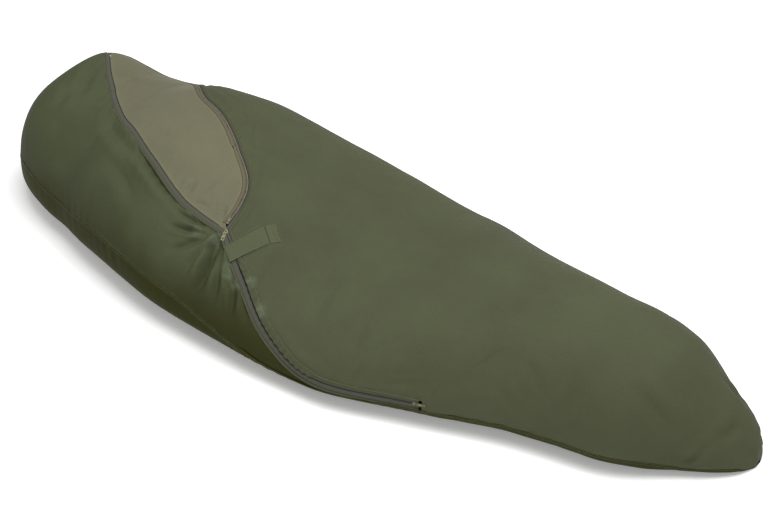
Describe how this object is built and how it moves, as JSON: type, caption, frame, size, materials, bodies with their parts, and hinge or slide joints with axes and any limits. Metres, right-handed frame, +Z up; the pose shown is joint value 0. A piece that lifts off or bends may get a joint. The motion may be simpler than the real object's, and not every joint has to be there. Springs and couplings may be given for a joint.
{
  "type": "bivy sack",
  "caption": "Mummy-shaped waterproof bivy sack lying filled out, with a raised hood, a diagonal side zip, a tan insect net over the face opening and a small zip tab.",
  "frame": {"origin": "on the ground under the middle of the bag's own length and width", "axes": "+X from the head to the foot, +Y away from the side the zip runs down, +Z up from the floor it lies on"},
  "size_m": [2.2689, 0.8037, 0.3648],
  "materials": {
    "olive_fabric": "matt close-woven laminate",
    "tub_fabric": "matt coated base fabric",
    "tan_mesh": "fine close mesh with a slight sheen",
    "grey_tape": "woven zip tape",
    "tan_zip": "fine coil zip",
    "dark_coil": "nylon coil",
    "zip_metal": "worn plated metal",
    "hook_and_loop": "hook and loop pile"
  },
  "bodies": {
    "sack": {"base_panel": "tub_fabric", "hood_panel": "olive_fabric", "insect_net": "tan_mesh", "net_coil_inner": "tan_zip", "net_coil_outer": "tan_zip", "net_hem": "tan_mesh", "net_zip_tape": "tan_zip", "seam_tape_far": "tub_fabric", "seam_tape_near": "tub_fabric", "storm_flap": "olive_fabric", "tab_loop_patch": "hook_and_loop", "tab_sewn_end": "olive_fabric", "top_panel": "olive_fabric", "zip_bottom_stop": "zip_metal", "zip_coil_body": "dark_coil", "zip_coil_hood": "dark_coil", "zip_tape_body": "grey_tape", "zip_tape_hood": "grey_tape", "zip_top_stop": "zip_metal"},
    "head_slider": {"head_slider": "zip_metal"},
    "head_puller": {"head_puller": "zip_metal"},
    "foot_slider": {"foot_slider": "zip_metal"},
    "foot_puller": {"foot_puller": "zip_metal"},
    "net_slider": {"net_slider": "zip_metal"},
    "net_puller": {"net_puller": "zip_metal"},
    "zip_tab": {"zip_tab": "olive_fabric", "tab_hook_patch": "hook_and_loop"}
  },
  "joints": [
    {"name": "head_slider_slide", "type": "slide", "parent": "sack", "child": "head_slider", "axis": [0.8045, -0.4876, -0.3392], "range_m": [0, 0.018]},
    {"name": "head_puller_swing", "type": "hinge", "parent": "head_slider", "child": "head_puller", "pos_m": [-0.20866, -0.23644, 0.26426], "axis": [-0.9131, -0.4029, 0.0621], "range_deg": [0, 150]},
    {"name": "foot_slider_slide", "type": "slide", "parent": "sack", "child": "foot_slider", "axis": [-0.9319, -0.3626, -0.0121], "range_m": [0, 0.05]},
    {"name": "foot_puller_swing", "type": "hinge", "parent": "foot_slider", "child": "foot_puller", "pos_m": [0.43324, -0.29082, 0.08139], "axis": [0.0399, -0.0693, -0.9968], "range_deg": [0, 150]},
    {"name": "net_slider_slide", "type": "slide", "parent": "sack", "child": "net_slider", "axis": [-0.1684, 0.9513, 0.2582], "range_m": [0, 0.025]},
    {"name": "net_puller_swing", "type": "hinge", "parent": "net_slider", "child": "net_puller", "pos_m": [-0.2221, -0.21386, 0.27264], "axis": [0.961, 0.2167, -0.1716], "range_deg": [0, 150]},
    {"name": "zip_tab_lift", "type": "hinge", "parent": "sack", "child": "zip_tab", "pos_m": [-0.12155, -0.17856, 0.25817], "axis": [-0.803, 0.5281, 0.2761], "range_deg": [0, 140]}
  ]
}
